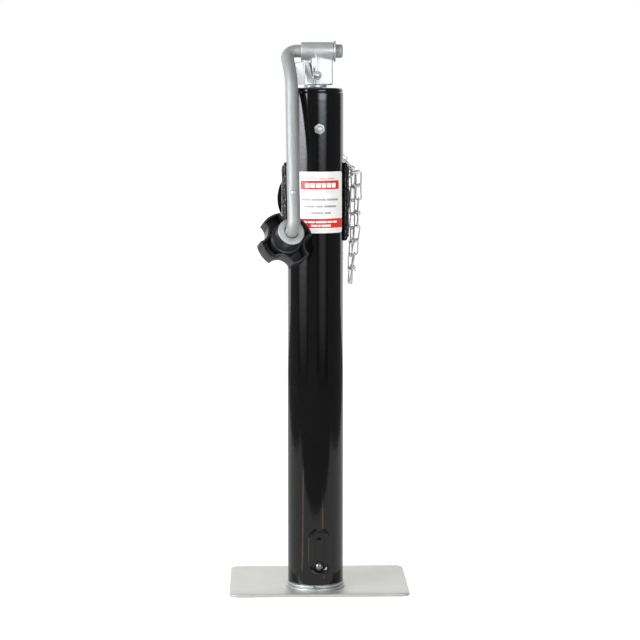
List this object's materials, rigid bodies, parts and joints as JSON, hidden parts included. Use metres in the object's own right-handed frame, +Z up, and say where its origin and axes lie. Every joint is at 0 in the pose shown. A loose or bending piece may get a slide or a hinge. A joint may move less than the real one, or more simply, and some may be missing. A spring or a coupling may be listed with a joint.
{
  "type": "tongue jack stand",
  "caption": "Top-wind trailer tongue jack: black outer tube with a zinc foot plate, a fold-down crank with a lobed knob, a pipe mount and a lock pin on a safety chain.",
  "frame": {"origin": "on the tube's axis, at the underside of the foot plate", "axes": "+Z up along the tube, +Y out of the mount pipe's mouth, and -Y the side of the label and the folded crank"},
  "size_m": [0.185, 0.2275, 0.5636],
  "materials": {
    "gloss_black_paint": "gloss powder coat with fine orange peel",
    "bright_zinc": "bright zinc plate, faint drawing lines",
    "satin_zinc": "satin zinc plate on mill steel",
    "bare_steel": "machined and greased",
    "bronze": "machined",
    "label_film": "printed vinyl",
    "black_plastic": "moulded, fine texture"
  },
  "bodies": {
    "jack_body": {"outer_tube": "gloss_black_paint", "top_cap": "gloss_black_paint", "upper_race": "bare_steel", "bearing_balls": "bare_steel", "grease_nipple": "bright_zinc", "label": "label_film", "mount_saddle": "gloss_black_paint", "saddle_welds": "gloss_black_paint", "mount_pipe": "gloss_black_paint", "pipe_weld": "gloss_black_paint", "pin_boss": "gloss_black_paint", "chain_staple": "bright_zinc", "safety_chain": "bright_zinc"},
    "screw": {"lead_screw": "bare_steel", "screw_stop": "bare_steel"},
    "leg": {"inner_tube": "satin_zinc", "lift_nut": "bronze", "foot_collar": "bright_zinc", "foot_plate": "satin_zinc"},
    "crank": {"drive_stem": "bare_steel", "lower_race": "bare_steel", "head_washer": "bright_zinc", "crank_head": "bright_zinc", "head_pin": "bright_zinc"},
    "handle": {"crank_rod": "bright_zinc", "rod_washer": "bright_zinc", "knob_washer": "bright_zinc", "push_nut": "bare_steel"},
    "grip": {"knob": "black_plastic", "knob_cap": "black_plastic"},
    "latch": {"lock_pin": "bright_zinc", "pin_ring": "bright_zinc"}
  },
  "joints": [
    {"name": "screw_turn", "type": "hinge", "parent": "jack_body", "child": "screw", "pos_m": [0, 0, 0.4], "axis": [0, 0, 1], "range_deg": [0, 27000]},
    {"name": "leg_extend", "type": "slide", "parent": "jack_body", "child": "leg", "axis": [0, 0, -1], "range_m": [0, 0.381]},
    {"name": "crank_turn", "type": "hinge", "parent": "jack_body", "child": "crank", "pos_m": [0, 0, 0.52], "axis": [0, 0, 1], "range_deg": [-85, 90]},
    {"name": "handle_fold", "type": "hinge", "parent": "crank", "child": "handle", "pos_m": [0, 0, 0.553], "axis": [-1, 0, 0], "range_deg": [0, 250]},
    {"name": "knob_spin", "type": "hinge", "parent": "handle", "child": "grip", "pos_m": [-0.0253, -0.07731, 0.37655], "axis": [-0.2777, 0.8548, -0.4384], "continuous": true},
    {"name": "pin_lift", "type": "slide", "parent": "jack_body", "child": "latch", "axis": [0, 0, 1], "range_m": [-0.016, 0.012]}
  ],
  "couplings": [
    {"joint": "screw_turn", "follows": "leg_extend", "rad_per_m": 1236.8}
  ]
}
